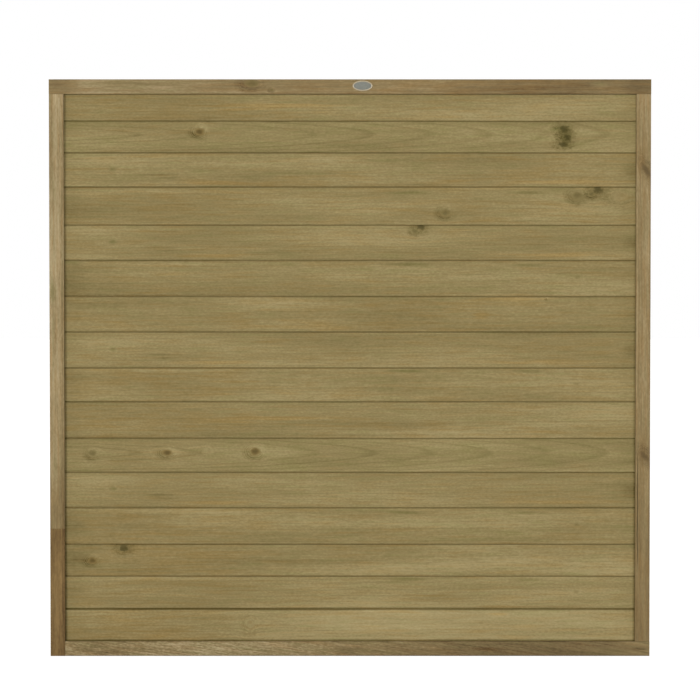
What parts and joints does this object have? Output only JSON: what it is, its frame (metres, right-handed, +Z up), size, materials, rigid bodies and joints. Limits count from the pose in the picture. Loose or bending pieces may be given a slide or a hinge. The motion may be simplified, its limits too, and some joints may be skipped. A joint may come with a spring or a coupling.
{
  "type": "tongue and groove fence panel",
  "caption": "Solid garden fence panel of horizontal tongue and groove boards, held in a grooved softwood frame that is fixed between posts.",
  "frame": {"origin": "middle of the bottom rail's underside, half way through the frame's depth", "axes": "+Z up, +X along the boards to the right as seen from the face side, -Y out of the face side"},
  "size_m": [1.83, 0.0356, 1.758],
  "materials": {
    "frame_timber": "planed",
    "board_timber": "planed",
    "plate_metal": "satin",
    "nail_steel": "galvanised"
  },
  "bodies": {
    "root": {"top_rail": "frame_timber", "bottom_rail": "frame_timber", "left_stile": "frame_timber", "right_stile": "frame_timber", "board_01": "board_timber", "board_02": "board_timber", "board_03": "board_timber", "board_04": "board_timber", "board_05": "board_timber", "board_06": "board_timber", "board_07": "board_timber", "board_08": "board_timber", "board_09": "board_timber", "board_10": "board_timber", "board_11": "board_timber", "board_12": "board_timber", "board_13": "board_timber", "board_14": "board_timber", "board_15": "board_timber", "board_16": "board_timber", "corner_nails": "nail_steel", "oval_plate": "plate_metal"}
  },
  "joints": []
}
